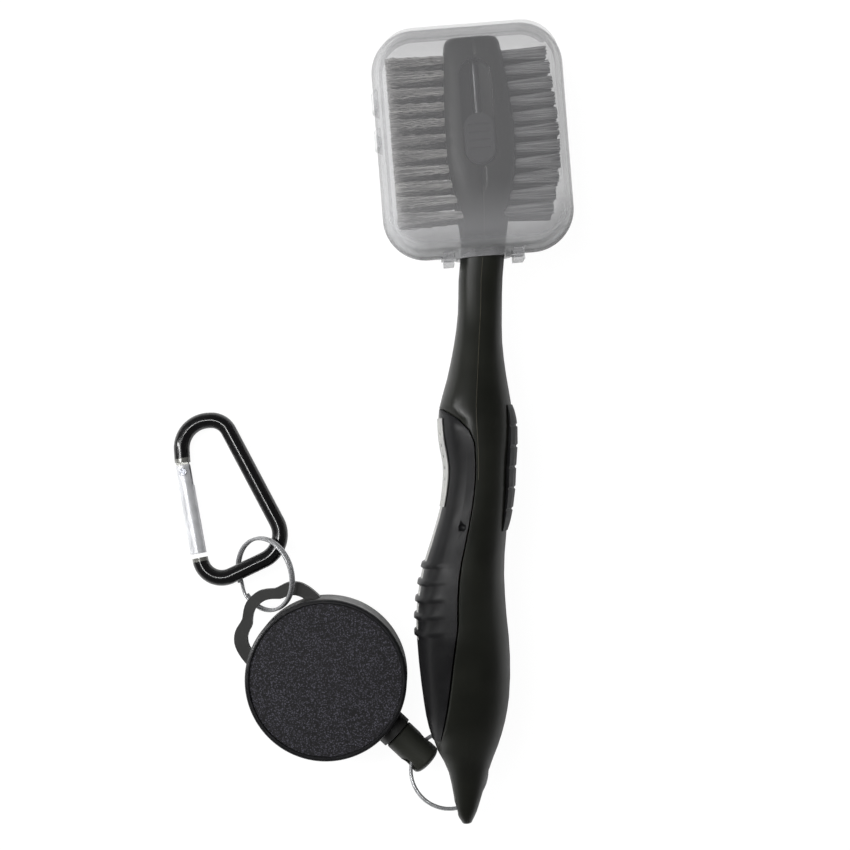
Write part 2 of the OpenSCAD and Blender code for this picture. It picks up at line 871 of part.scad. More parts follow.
floor_t = 1.4;
body_h = reel_h - cover_h;
in_r = reel_r - reel_wall;
foot_r = 1.2;
eyelet_r = 1.7;
loop_z = cord_z - loop_t / 2;
// outer edge of the loop: degrees from its middle, height above the reel's wall
LOOP = [
    [0, 7.7], [4, 7.55], [8, 6.8], [12.5, 5.7], [16, 5.65], [20, 5.65],
    [24, 5.2], [28, 4.3], [33, 2.4], [38.5, 0], [43, -1.6]
];
loop_turn = -3.8;             // turn of the loop from straight opposite the cord
loop_end = 43;                // half angle of the loop
loop_open = 28;               // half angle of its opening
module reel_loop() {
    function edge(a, r) = [-r * cos(a), -r * sin(a)];
    function outer(a) = reel_r + curve_up(LOOP, abs(a), 1);
    // the opening's ends are rounded
    function inner(a) =
        mix(reel_r - 0.5, outer(a) - loop_bar, sqrt(1 - (a / loop_open) ^ 4));
    translate([0, 0, loop_z])
        rotate([0, 0, loop_turn])
            linear_extrude(loop_t)
            difference() {
                polygon(concat(
                    [for (i = [-21:21]) edge(loop_end * i / 21, outer(loop_end * i / 21))],
                    [for (i = [4:-1:-4]) edge(loop_end * i / 4, reel_r - 2)]
                ));
                polygon(concat(
                    [for (a = [-loop_open:2:loop_open]) edge(a, inner(a))],
                    [for (a = [loop_open - 5:-5:5 - loop_open]) edge(a, reel_r - 1)]
                ));
            }
}

module cord_channel(r) {
    rod([12, cord_off, cord_z], [1, 0, 0], 14, r);
}

module reel_housing() {
    color("#232326")
        at_reel()
            difference() {
                union() {
                    rotate_extrude($fn = 96)
                        polygon(concat(
                            [[0, 0], [reel_r - foot_r, 0]],
                            [for (a = [-75:15:0])
                                [reel_r - foot_r + foot_r * cos(a),
                                    foot_r + foot_r * sin(a)]],
                            [[reel_r, body_h], [0, body_h]]
                        ));
                    reel_loop();
                    rod([reel_r - 4, cord_off, cord_z], [1, 0, 0],
                        nozzle_x - reel_r + 4, nozzle_w / 2);
                }
                difference() {
                    translate([0, 0, floor_t])
                        cylinder(h = reel_h, r = in_r, $fn = 96);
                    // the nozzle's root stays above the cavity's wall
                    cylinder(h = floor_t + 0.8, r = 4);
                }
                cylinder(h = reel_h, r = post_foot + fit);
                cord_channel(eyelet_r + fit);
            }
}

module reel_cover() {
    face_r = reel_r - rim_w;
    color("#2c2c2f")
        at_reel()
            translate([0, 0, body_h])
                rotate_extrude($fn = 96)
                    polygon([
                        [0, 0], [in_r - fit - 1.2, 0], [in_r - fit - 1.2, -1.2],
                        [in_r - fit, -1.2], [in_r - fit, 0], [reel_r, 0],
                        [reel_r, cover_h - 0.5], [reel_r - 0.2, cover_h - 0.15],
                        [reel_r - 0.6, cover_h], [face_r + 0.2, cover_h],
                        [face_r, cover_h - 0.2],
                        [face_r, cover_h - face_deep - disc_t],
                        [0, cover_h - face_deep - disc_t]
                    ]);
}

disc_t = 0.6;
module face_disc() {
    color("#39383d")
        at_reel()
            translate([0, 0, reel_h - face_deep - disc_t])
                cylinder(h = disc_t, r = reel_r - rim_w - fit, $fn = 96);
}

module cord_eyelet() {
    color("#b9babc")
        at_reel()
            translate([0, cord_off, cord_z])
                rotate([0, 90, 0])
                    rotate_extrude($fn = 32)
                        polygon([
                            [cord_d / 2 + 0.3, in_r - 0.6], [eyelet_r, in_r - 0.6],
                            [eyelet_r, nozzle_x - 0.5],
                            [cord_d / 2 + 0.8, nozzle_x - 0.3],
                            [cord_d / 2 + 0.3, nozzle_x - 1]
                        ]);
}

post_foot = 2;
post_r = 2.5;
module reel_post() {
    color("#8f9093")
        at_reel() {
            cylinder(h = floor_t + 0.8, r = post_foot);
            translate([0, 0, floor_t + 0.8])
                cylinder(h = body_h - floor_t - 0.8, r = post_r);
        }
}

spool_under = 1.1;            // space kept under the spool and over it
spool_over = 1.6;
spool_z0 = floor_t + spool_under;
spool_z1 = body_h - spool_over;
flange_t = 0.9;
drum_t = 1;
module cord_spool() {
    color("#e8e4d8")
        at_reel()
            rotate_extrude($fn = 72)
                polygon([
                    [post_r + pin_fit, spool_z0], [spool_r, spool_z0],
                    [spool_r, spool_z0 + flange_t], [core_r, spool_z0 + flange_t],
                    [core_r, spool_z1 - flange_t], [spool_r, spool_z1 - flange_t],
                    [spool_r, spool_z1], [core_r - drum_t, spool_z1],
                    [core_r - drum_t, spool_z0 + flange_t],
                    [post_r + pin_fit, spool_z0 + flange_t]
                ]);
}

wound_r = 12.4;               // outer radius of the cord on the spool
module wound_cord() {
    z0 = spool_z0 + flange_t + fit;
    z1 = spool_z1 - flange_t - fit;
    turns = floor((z1 - z0) / cord_d);
    step = (z1 - z0) / turns;
    color("#1b1b1b")
        at_reel()
            rotate_extrude($fn = 72)
                polygon(concat(
                    [[core_r + fit, z0], [wound_r - cord_d / 2, z0]],
                    [for (i = [0:turns - 1], a = [-60:30:60])
                        [wound_r - cord_d / 2 + cord_d / 2 * cos(a),
                            z0 + step * (i + 0.5) + step / 2 * sin(a)]],
                    [[wound_r - cord_d / 2, z1], [core_r + fit, z1]]
                ));
}

// Flat strip coiled from the post to the drum
spring_turns = 5;
spring_t = 0.25;
spring_gap = 0.35;            // kept from the post and from the drum
module return_spring() {
    r0 = post_r + spring_gap;
    r1 = core_r - drum_t - spring_gap;
    function spiral(a, s) =
        let (r = r0 + (r1 - r0) * a / (360 * spring_turns) + s)
        [r * cos(a), r * sin(a)];
    color("#9a9ca0")
        at_reel()
            translate([0, 0, spool_z0 + flange_t + spring_gap])
                linear_extrude(spool_z1 - spool_z0 - flange_t - 2 * spring_gap)
                    polygon(concat(
                        [for (a = [0:15:360 * spring_turns]) spiral(a, 0)],
                        [for (a = [360 * spring_turns:-15:0])
                            spiral(a, spring_t)]
                    ));
}

// Cord from the winding through the nozzle to its knot in the connector
module pull_cord() {
    exit_p = [in_r - 1.5, cord_off];
    far = norm(exit_p);
    lie_r = wound_r + cord_d / 2 + 0.15;
    a = atan2(exit_p[1], exit_p[0]) + acos(lie_r / far);
    start = [lie_r * cos(a), lie_r * sin(a)];
    run_l = norm(exit_p - start);
    dir = (exit_p - start) / run_l;
    color("#1b1b1b")
        at_reel() {
            rod([start[0], start[1], cord_z], [dir[0], dir[1], 0], run_l, cord_d / 2);
            translate([exit_p[0], exit_p[1], cord_z])
                sphere(d = cord_d + 0.05);
            rod([exit_p[0], exit_p[1], cord_z], [1, 0, 0],
                sleeve_x + knot_x - knot_r - 0.02 - exit_p[0], cord_d / 2);
        }
}

// ---------- connector ----------

knot_x = 3;                   // middle of the knot from the sleeve's near end
knot_r = 1.5;
module cord_connector() {
    dome = 1.4;
    color("#29292a")
        difference() {
            at_reel()
                difference() {
                    translate([sleeve_x, cord_off, cord_z])
                        rotate([0, 90, 0])
                            rotate_extrude($fn = 64)
                                polygon(concat(
                                    [[0, 0], [sleeve_d / 2 - 0.4, 0],
                                        [sleeve_d / 2, 0.4],
                                        [sleeve_d / 2, sleeve_l - dome]],
                                    [for (a = [10:10:90])
                                        [(sleeve_d / 2) * cos(a) ^ 0.7,
                                            sleeve_l - dome + dome * sin(a)]]
                                ));
                    rod([sleeve_x - 1, cord_off, cord_z], [1, 0, 0], knot_x,
                        cord_d / 2 + 0.2);
                    translate([sleeve_x + knot_x, cord_off, cord_z])
                        sphere(r = knot_r + 0.15);
                }
            rod(ring_point(0) - 6 * ring_tangent(0), ring_tangent(0), 12,
                sleeve_hole_r);
        }
}

module cord_knot() {
    color("#1b1b1b")
        at_reel()
            translate([sleeve_x + knot_x, cord_off, cord_z])
                sphere(r = knot_r);
}

// ---------- reel's ring and carabiner ----------

// the ring hangs over the loop's bar beside the reel and holds the carabiner
loop_ring_az = 116.75;
loop_ring_gap = 0.825;        // between the reel's wall and the ring's middle line
loop_ring_z = 6.75;
loop_ring_out = reel_r + loop_ring_gap + reel_ring_r;
reel_ring_c = reel_c + loop_ring_out * [cos(loop_ring_az), sin(loop_ring_az), 0]
    + [0, 0, loop_ring_z];
reel_ring_n = unit([-0.62, -0.1, 0.78]);
module reel_ring() {
    color("#d5d6d8")
        split_ring(reel_ring_c, reel_ring_n, reel_ring_r, ring_wire);
}

// carabiner frame: +Y along the spine, +X across the bow, bow on y = 0
bow_p = reel_ring_c + [-3.29, 2.26, -2];
spine_az = 23.8;
lie_tilt = -3.9;              // far end rests on the table
corner_r = 7;
nose_p = [-bow_w / 2 + 1.1, 8];
rivet_p = [-4.2, 29];
pivot_p = [-3.4, 31.4];
spine_x = 10.7;
crown = [0.7, spine_l + 4.4];
D_POINTS = [
    pivot_p, crown, [spine_x, spine_l], [spine_x, -0.5],
    [spine_x - bow_w, 0.6], nose_p
];
D_RADII = [0, 7, 5, corner_r, 5.5, 0];

module at_carabiner() {
    translate(bow_p)
        rotate([0, 0, spine_az])
            rotate([lie_tilt, 0, 0])
                children();
}

// Round rod along the points p with corner radii r, in the XY plane; its
// bends are a hair thicker than its straights, which run a little into them
module bent_rod(p, r, d) {
    lap = 0.2;
    last = len(p) - 1;
    function turn(i) =
        let (a = unit(p[i] - p[i - 1]), b = unit(p[i + 1] - p[i]))
        atan2(a[0] * b[1] - a[1] * b[0], a * b);
    function trim(i) = i == 0 || i == last ? 0 : r[i] * tan(abs(turn(i)) / 2);
    for (i = [0:last - 1]) {
        v = unit(p[i + 1] - p[i]);
        start = p[i] + v * (trim(i) - (i == 0 ? 0 : lap));
        l = norm(p[i + 1] - p[i]) - trim(i) - trim(i + 1)
            + (i == 0 || i == last - 1 ? lap : 2 * lap);
        rod([start[0], start[1], 0], [v[0], v[1], 0], l, d / 2);
    }
    for (i = [1:last - 1]) {
        a = unit(p[i] - p[i - 1]);
        s = sign(turn(i));
        c = p[i] - a * trim(i) + s * r[i] * [-a[1], a[0]];
        translate([c[0], c[1], 0])
            rotate([0, 0, atan2(-s * a[0], s * a[1])])
                rotate([s > 0 ? 0 : 180, 0, 0])
                    rotate_extrude(angle = abs(turn(i)), $fn = 96)
                        translate([r[i], 0])
                            circle(d = d + 0.02);
    }
}

tang_t = 2;                   // flat tongue at the rivet, inside the gate's fork
tang_w = 3;
rivet_r = 0.9;
fork_l = 5.4;

module carabiner_body() {
    color("#1a1a1c")
        at_carabiner()
            difference() {
                union() {
                    bent_rod(D_POINTS, D_RADII, rod_d);
                    tang();
                }
                rod([rivet_p[0], rivet_p[1], -3], [0, 0, 1], 6, rivet_r + pin_fit);
            }
}

// Flat tang from the rod's end past the rivet
module tang() {
    v = unit(pivot_p - rivet_p);
    across = [-v[1], v[0]];
    low = rivet_p - v * 0.2;
    high = pivot_p + v * 1;
    translate([0, 0, -tang_t / 2])
        linear_extrude(tang_t) {
            polygon([
                low + across * tang_w / 2, high + across * tang_w / 2,
                high - across * tang_w / 2, low - across * tang_w / 2
            ]);
            translate(rivet_p)
                circle(d = tang_w);
        }
}

gate_d = rod_d;
gate_wall = 0.6;
gate_gap = 0.3;
gate_low = [-10.5, 9.1];
gate_v = unit(rivet_p - gate_low);
gate_high = rivet_p + gate_v * 1.8;
module gate_tube() {
    l = norm(gate_high - gate_low);
    color("#c6c8cb")
        at_carabiner()
            difference() {
                rod([gate_low[0], gate_low[1], 0], [gate_v[0], gate_v[1], 0],
                    l, gate_d / 2);
                // spring bore, closed at the nose end
                rod([gate_low[0] + gate_v[0] * 3, gate_low[1] + gate_v[1] * 3, 0],
                    [gate_v[0], gate_v[1], 0], l, gate_d / 2 - gate_wall);
                // fork slot for the tang
                translate([gate_high[0], gate_high[1], 0])
                    rotate([0, 0, atan2(gate_v[1], gate_v[0])])
                        translate([-fork_l, -gate_d, -tang_t / 2 - 0.1])
                            cube([fork_l + 1, 2 * gate_d, tang_t + 0.2]);
                rod([rivet_p[0], rivet_p[1], -3], [0, 0, 1], 6, rivet_r + pin_fit);
            }
}

module gate_rivet() {
    color("#8c8e91")
        at_carabiner()
            rod([rivet_p[0], rivet_p[1], -rod_d / 2 - 0.1], [0, 0, 1], rod_d + 0.2,
                rivet_r);
}

// Coil spring in the gate's bore that pushes on the tang
module gate_spring() {
    coils = 7;
    sides = 6;
    wire_r = 0.18;
    coil_r = gate_d / 2 - gate_wall - wire_r - 0.12;
    start = 3.2;
    l = norm(gate_high - gate_low) - fork_l - start - 0.3;
    rings = coils * 12;
    function coil_ring(i) =
        let (a = i * 30, z = l * i / rings)
        [for (k = [0:sides - 1])
            let (b = k * 360 / sides, r = coil_r + wire_r * cos(b))
            [r * cos(a), r * sin(a), z + wire_r * sin(b)]];
    color("#9a9ca0")
        at_carabiner()
            translate([gate_low[0] + gate_v[0] * start, gate_low[1] + gate_v[1] * start, 0])
                rotate([0, 90, atan2(gate_v[1], gate_v[0])])
                    loft([for (i = [rings:-1:0]) coil_ring(i)]);
}

wire_side_body();
nylon_side_body();
finger_grip();
finger_pad();
thumb_pad();
wire_tufts();
nylon_tufts();
pick_slider();
groove_pick();
case_back();
case_front();
hinge_straps();
tail_ring();
cord_connector();
cord_knot();
pull_cord();
reel_housing();
reel_cover();
face_disc();
cord_eyelet();
cord_spool();
wound_cord();
return_spring();
reel_post();
reel_ring();
carabiner_body();
gate_tube();
gate_rivet();
gate_spring();
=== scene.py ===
import json
import math

import bmesh
import bpy
import numpy as np
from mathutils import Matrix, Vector

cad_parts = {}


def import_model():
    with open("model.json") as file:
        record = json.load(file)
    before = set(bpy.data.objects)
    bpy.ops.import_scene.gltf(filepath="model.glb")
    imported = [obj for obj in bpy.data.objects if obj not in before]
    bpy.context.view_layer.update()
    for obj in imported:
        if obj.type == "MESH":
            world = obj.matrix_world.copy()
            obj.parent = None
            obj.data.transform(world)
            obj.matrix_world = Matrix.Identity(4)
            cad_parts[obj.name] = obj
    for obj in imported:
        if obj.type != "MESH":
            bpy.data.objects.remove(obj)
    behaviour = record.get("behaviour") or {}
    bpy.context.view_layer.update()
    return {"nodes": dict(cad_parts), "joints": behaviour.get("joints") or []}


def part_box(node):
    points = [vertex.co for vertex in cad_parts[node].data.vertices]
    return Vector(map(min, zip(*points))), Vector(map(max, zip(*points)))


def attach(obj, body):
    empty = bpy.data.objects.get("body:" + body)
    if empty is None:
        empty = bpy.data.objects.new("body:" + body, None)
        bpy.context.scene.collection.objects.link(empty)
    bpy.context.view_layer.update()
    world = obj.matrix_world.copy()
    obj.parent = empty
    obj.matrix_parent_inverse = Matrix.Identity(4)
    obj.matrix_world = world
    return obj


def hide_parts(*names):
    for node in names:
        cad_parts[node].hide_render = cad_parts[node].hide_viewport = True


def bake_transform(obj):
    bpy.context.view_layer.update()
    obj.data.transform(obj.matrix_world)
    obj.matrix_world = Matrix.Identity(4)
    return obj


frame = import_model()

# ---- Camera -----------------------------------------------------------------
# Straight down on the brush as it lies on its side, 413.5 mm above the table,
# turned so that the brush's head leans a little to the right.
eye_at = (-0.01719, -0.06884, 0.4135)
view_turn = math.radians(-4.5)
view_width_at_seam = 0.20995
seam_height = 0.0135
camera_data = bpy.data.cameras.new("camera")
camera_data.sensor_width = 36
camera_data.lens = 36 * (eye_at[2] - seam_height) / view_width_at_seam
camera_data.clip_start = 0.01
camera = bpy.data.objects.new("camera", camera_data)
camera.location = eye_at
camera.rotation_euler = (0, 0, view_turn)
bpy.context.scene.collection.objects.link(camera)
bpy.context.scene.camera = camera
bpy.context.scene.view_settings.view_transform = "Standard"

# ---- Table and studio light -------------------------------------------------
# A pale matt table in a dim room with pale walls. One narrow strip light at
# the upper left draws the highlights; three softboxes only fill.
TABLE_WHITE = 0.9
TABLE_Z = -0.0002
# the camera sees this much of the table as a plain bright backdrop
BACKDROP_SHARE = 0.91
BACKDROP_LEVEL = 1.06
WALLS_LEVEL = 0.5
CEILING_LEVEL = 0.09
AIM = (-0.02, -0.07, 0.0)


class Sock:
    """A shader socket that sums, products and powers can be written with."""

    def __init__(self, finish, socket):
        self.finish = finish
        self.socket = socket

    def calc(self, operation, *values):
        return self.finish.node("ShaderNodeMath", {"operation": operation}, values)

    def __add__(self, other):
        return self.calc("ADD", self, other)

    def __sub__(self, other):
        return self.calc("SUBTRACT", self, other)

    def __rsub__(self, other):
        return self.calc("SUBTRACT", other, self)

    def __mul__(self, other):
        return self.calc("MULTIPLY", self, other)

    def __truediv__(self, other):
        return self.calc("DIVIDE", self, other)

    def __pow__(self, other):
        return self.calc("POWER", self, other)

    __radd__ = __add__
    __rmul__ = __mul__

    def sine(self):
        return self.calc("SINE", self)

    def size(self):
        return self.calc("ABSOLUTE", self)

    def least(self, other):
        return self.calc("MINIMUM", self, other)

    def most(self, other):
        return self.calc("MAXIMUM", self, other)

    def step(self, low, high, to_low=0.0, to_high=1.0):
        """Smooth step from to_low at low to to_high at high."""
        return self.finish.node(
            "ShaderNodeMapRange",
            {"interpolation_type": "SMOOTHSTEP"},
            {"Value": self, "From Min": low, "From Max": high,
             "To Min": to_low, "To Max": to_high},
        )


class Finish:
    """A material under construction: node() adds any node and wires it."""

    def __init__(self, name):
        self.material = bpy.data.materials.new(name)
        self.material.use_nodes = True
        self.tree = self.material.node_tree
        self.tree.nodes.clear()
        self.out = self.tree.nodes.new("ShaderNodeOutputMaterial")

    def node(self, kind, settings=None, values=(), output=0):
        made = self.tree.nodes.new(kind)
        for key, setting in (settings or {}).items():
            setattr(made, key, setting)
        pairs = values.items() if isinstance(values, dict) else enumerate(values)
        for key, value in pairs:
            if isinstance(value, Sock):
                self.tree.links.new(value.socket, made.inputs[key])
            else:
                made.inputs[key].default_value = value
        return Sock(self, made.outputs[output])

    def place(self):
        """Object coordinates, in metres."""
        return self.node("ShaderNodeTexCoord", output="Object")

    def parts(self, vector):
        split = self.tree.nodes.new("ShaderNodeSeparateXYZ")
        self.tree.links.new(vector.socket, split.inputs[0])
        return [Sock(self, o) for o in split.outputs]

    def noise(self, size, detail=2.0, at=None, rough=0.5):
        """Noise whose lumps are about size metres wide, from 0 to 1."""
        return self.node(
            "ShaderNodeTexNoise", None,
            {"Vector": at or self.place(), "Scale": 1 / size, "Detail": detail,
             "Roughness": rough},
        )

    def stretched(self, x, y, z):
        """Object coordinates scaled by x, y and z."""
        return self.node(
            "ShaderNodeVectorMath", {"operation": "MULTIPLY"},
            (self.place(), (x, y, z)),
        )

    def blend(self, factor, a, b):
        """Colour a where factor is 0 and b where it is 1."""
        mix = self.tree.nodes.new("ShaderNodeMix")
        mix.data_type = "RGBA"
        for key, value in ((0, factor), (6, a), (7, b)):
            if isinstance(value, Sock):
                self.tree.links.new(value.socket, mix.inputs[key])
            elif key:
                mix.inputs[key].default_value = (*value, 1)
            else:
                mix.inputs[key].default_value = value
        return Sock(self, mix.outputs[2])

    def bump(self, height, depth, strength):
        """Normal of a height from 0 to 1 that is depth metres high."""
        return self.node("ShaderNodeBump", None, {
            "Height": height, "Distance": depth, "Strength": strength,
        })

    def surface(self, **values):
        """Principled surface; colours are plain triples or sockets."""
        named = {}
        for key, value in values.items():
            if isinstance(value, tuple):
                value = (*value, 1)
            named[key.replace("_", " ")] = value
        return self.node("ShaderNodeBsdfPrincipled", None, named)

    def done(self, shader):
        self.tree.links.new(shader.socket, self.out.inputs[0])
        return self.material


def paint(r, g, b):
    """Linear colour of a screen colour given from 0 to 255."""
    return tuple(
        c / 12.92 if c <= 0.04045 else ((c + 0.055) / 1.055) ** 2.4
        for c in (r / 255, g / 255, b / 255)
    )


def table_paint():
    f = Finish("table")
    cloudy = f.noise(0.05, 3.0)
    tone = cloudy.step(0.2, 0.8, TABLE_WHITE - 0.01, TABLE_WHITE + 0.01)
    matt = f.surface(
        Base_Color=f.blend(tone, (0, 0, 0), (1, 1, 1)), Roughness=0.9,
    )
    lit = f.node("ShaderNodeEmission", None,
                 {"Color": (1, 1, 1, 1), "Strength": BACKDROP_LEVEL})
    share = f.node("ShaderNodeLightPath", output="Is Camera Ray") * BACKDROP_SHARE
    return f.done(f.node("ShaderNodeMixShader", None, (share, matt, lit)))


def lay_table():
    """Plane z = TABLE_Z over a square of 4 m."""
    half = 2.0
    corners = ((-half, -half), (half, -half), (half, half), (-half, half))
    mesh = bpy.data.meshes.new("table")
    mesh.from_pydata([(x, y, TABLE_Z) for x, y in corners], [], [(0, 1, 2, 3)])
    mesh.materials.append(table_paint())
    table = bpy.data.objects.new("table", mesh)
    bpy.context.scene.collection.objects.link(table)


def softbox(name, at, width, height, power, mirrored=False):
    """Area lamp that faces AIM, its height along the brush; only a mirrored
    lamp leaves a highlight."""
    data = bpy.data.lights.new(name, "AREA")
    data.shape = "RECTANGLE"
    data.size = width
    data.size_y = height
    data.energy = power
    lamp = bpy.data.objects.new(name, data)
    lamp.location = at
    away = np.subtract(at, AIM)
    away /= np.linalg.norm(away)
    lamp.rotation_mode = "QUATERNION"
    lamp.visible_glossy = mirrored
    lamp.rotation_quaternion = Vector(away).to_track_quat("Z", "Y")
    bpy.context.scene.collection.objects.link(lamp)


def paint_room():
    """Level = ceiling + (walls - ceiling) (1 - z)^3, with z from 0 to 1."""
    world = bpy.data.worlds.new("room")
    world.use_nodes = True
    bpy.context.scene.world = world
    room = world.node_tree
    room.nodes.clear()
    where, split, low_part, cubed, level, backdrop, sky = (
        room.nodes.new("ShaderNode" + kind)
        for kind in ("TexCoord", "SeparateXYZ", "MapRange", "Math", "MapRange",
                     "Background", "OutputWorld")
    )
    low_part.inputs["From Min"].default_value = 1.0
    low_part.inputs["From Max"].default_value = 0.0
    cubed.operation = "POWER"
    cubed.inputs[1].default_value = 3.0
    level.inputs["To Min"].default_value = CEILING_LEVEL
    level.inputs["To Max"].default_value = WALLS_LEVEL
    for output, entry in (
        (where.outputs["Generated"], split.inputs[0]),
        (split.outputs["Z"], low_part.inputs["Value"]),
        (low_part.outputs["Result"], cubed.inputs[0]),
        (cubed.outputs[0], level.inputs["Value"]),
        (level.outputs["Result"], backdrop.inputs["Strength"]),
        (backdrop.outputs[0], sky.inputs[0]),
    ):
        room.links.new(output, entry)


lay_table()
softbox("left_softbox", (-0.42, -0.02, 0.14), width=0.10, height=0.60, power=1.8)
softbox("strip_light", (-0.46, 0.04, 0.61), width=0.05, height=0.80, power=2.9,
        mirrored=True)
softbox("right_softbox", (0.45, -0.10, 0.30), width=0.10, height=0.60, power=0.6)
softbox("overhead_softbox", (-0.25, 0.25, 0.75), width=0.30, height=0.30, power=2.6)
paint_room()

# ---- Handle and head --------------------------------------------------------
# Two moulded halves of black polypropylene, welded along a seam that runs up
# the middle of the brush, with a fine satin grain from the mould.


def join(name, points, faces, material, limit):
    """Mesh object from arrays of points and faces, shaded smooth where two faces
    meet at less than the limit in degrees."""
    mesh = bpy.data.meshes.new(name)
    mesh.from_pydata(np.asarray(points, float).tolist(), [],
                     [list(map(int, f)) for f in faces])
    mesh.materials.append(material)
    piece = bpy.data.objects.new(name, mesh)
    bpy.context.scene.collection.objects.link(piece)
    mesh.shade_smooth()
    mesh.set_sharp_from_angle(angle=math.radians(limit))
    return piece


def smoothed(node, name, material, limit=38):
    """A node's own skin, its loose triangles merged, shaded smooth where two
    faces meet at less than the limit in degrees; it stands for the node."""
    mesh = frame["nodes"][node].data.copy()
    mesh.name = name
    b = bmesh.new()
    b.from_mesh(mesh)
    bmesh.ops.remove_doubles(b, verts=b.verts, dist=2e-6)
    b.to_mesh(mesh)
    b.free()
    mesh.materials.clear()
    mesh.materials.append(material)
    mesh.shade_smooth()
    mesh.set_sharp_from_angle(angle=math.radians(limit))
    piece = bpy.data.objects.new(name, mesh)
    bpy.context.scene.collection.objects.link(piece)
    # large faces lead the shading, so slivers leave no marks
    lead = piece.modifiers.new("lead", "WEIGHTED_NORMAL")
    lead.keep_sharp = True
    lead.weight = 100
    seen = piece.evaluated_get(bpy.context.evaluated_depsgraph_get())
    shaded = bpy.data.meshes.new_from_object(seen)
    piece.modifiers.clear()
    piece.data = shaded
    shaded.name = name
    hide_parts(node)
    return piece


def finish_node(node, material):
    """Gives a node its material."""
    slots = frame["nodes"][node].data.materials
    slots.clear()
    slots.append(material)


def satin_black(name, tint, rough_low=0.34, rough_high=0.46):
    f = Finish(name)
    cloud = f.noise(0.012, 3.0)
    grain = f.noise(0.00035, 2.0)
    base = f.blend(cloud.step(0.3, 0.7), tuple(c * 0.85 for c in tint),
                   tuple(c * 1.2 for c in tint))
    shine = f.surface(
        Base_Color=base, Specular_IOR_Level=0.35,
        Roughness=cloud.step(0.2, 0.8, rough_low, rough_high),
        Normal=f.bump(grain, 0.000004, 0.4),
    )
    return f.done(shine)


body_black = satin_black("handle_black", paint(23, 24, 20), 0.28, 0.4)
for node in ("wire_side_body", "nylon_side_body"):
    half = smoothed(node, node.replace("_body", "_half"), body_black)
    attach(half, "brush")

# the weld stands up as a fine bead over the seam, from the slot to the palm; it is
# painted paler than the black halves, a painted highlight along the seam's ridge
WELD_FOOT, WELD_TOP, WELD_LOW_Z = -0.086, -0.009, 0.017
halves = [
    {tuple(np.round(v.co, 6)) for v in frame["nodes"][node].data.vertices}
    for node in ("wire_side_body", "nylon_side_body")
]
seam_top = {}
for x, y, z in halves[0] & halves[1]:
    if WELD_FOOT < y < WELD_TOP and z > seam_top.get(y, (0, 0, WELD_LOW_Z))[2]:
        seam_top[y] = (x, y, z)
seam_run = np.array([seam_top[y] for y in sorted(seam_top)])


def along(path, step):
    """The same path with a point at every step of its length."""
    gone = np.append(0, np.cumsum(np.linalg.norm(np.diff(path, axis=0), axis=1)))
    at = np.arange(0, gone[-1], step)
    return np.stack([np.interp(at, gone, path[:, i]) for i in range(3)], -1)


def circle(radius, count=14):
    a = np.arange(count) * 2 * np.pi / count
    return np.stack([radius * np.cos(a), radius * np.sin(a)], -1)


def swept(path, profile, up):
    """Profile carried along a path: point = path + u side + v lift, with side
    and lift square to the path and lift nearest to up. Ends are closed."""
    way = np.gradient(path, axis=0)
    way /= np.linalg.norm(way, axis=1, keepdims=True)
    side = np.cross(way, up)
    side /= np.linalg.norm(side, axis=1, keepdims=True)
    lift = np.cross(side, way)
    points = (path[:, None] + profile[None, :, :1] * side[:, None]
              + profile[None, :, 1:] * lift[:, None])
    rings, n = points.shape[:2]
    i, j = np.meshgrid(np.arange(rings - 1), np.arange(n), indexing="ij")
    k = (j + 1) % n
    faces = np.stack([i * n + j, i * n + k, (i + 1) * n + k, (i + 1) * n + j],
                     -1).reshape(-1, 4)
    caps = [list(range(n))[::-1], list(range((rings - 1) * n, rings * n))]
    return points.reshape(-1, 3), list(faces) + caps


points, faces = swept(along(seam_run, 0.0008), circle(0.00008, 8), (0, 0, 1))
# the bead's pale ochre paint is a painted highlight on the seam's ridge
weld = join("weld_bead", points, faces,
            satin_black("weld_painted_highlight", paint(56, 54, 45), 0.3, 0.4), limit=50)
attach(weld, "brush")

# ---- Soft grip and its pads -------------------------------------------------
# Black rubber moulded over the hollow edge, with a strip of dimples under the
# first finger, coarse ribs below and a ribbed rubber pad for the thumb.

RIB_FIRST, RIB_PITCH, RIBS_TOP = -0.1030, 0.0041, -0.1010
SHEEN_STRIP_TOP, SHEEN_STRIP_FOOT, SHEEN_STRIP_HALF = -0.0887, -0.1210, 0.0048
DIMPLE_FIRST, DIMPLE_PITCH, DIMPLE_ROW = -0.0713, 0.00278, 0.0049
# half the width over which the black rubber and its pale grey painted sheen meet
TONE_EDGE = 0.0002


def rubber(f, base, dust, rough_low, rough_high, gloss):
    """Matt moulded skin with a fine grain, duller where the dust lies."""
    return f.done(f.surface(
        Base_Color=base, Specular_IOR_Level=gloss,
        Roughness=dust.step(0.25, 0.75, rough_low, rough_high),
        Normal=f.bump(f.noise(0.0005, 3.0), 0.00002, 0.6),
    ))


def before(place, end):
    """1 where the place lies below the end, 0 above it."""
    return place.step(end - TONE_EDGE, end + TONE_EDGE, 1.0, 0.0)


def striped_grip():
    """Black rubber with a pale grey strip, a painted sheen of its lit left edge,
    running on between the coarse ribs.
    """
    f = Finish("grip_rubber")
    _, y, z = f.parts(f.place())
    # 0 on the crest of each rib, 0.5 half way between two of them
    rib_count = (y - RIB_FIRST) / -RIB_PITCH
    from_crest = rib_count.calc("PINGPONG", rib_count, 0.5)
    rib = from_crest.step(0.20, 0.26, 1.0, 0.0) * before(y, RIBS_TOP)
    strip = (before((z - seam_height).size(), SHEEN_STRIP_HALF)
             * (1 - before(y, SHEEN_STRIP_FOOT)) * before(y, SHEEN_STRIP_TOP))
    dust = f.noise(0.006, 4.0, rough=0.65)
    black = f.blend(dust.step(0.35, 0.75), paint(19, 19, 20), paint(22, 22, 23))
    # pale grey painted sheen on the strip along the lit left edge, between the ribs
    base = f.blend(strip * (1 - rib), black, paint(150, 150, 148))
    return rubber(f, base, dust, 0.28, 0.42, 0.22)


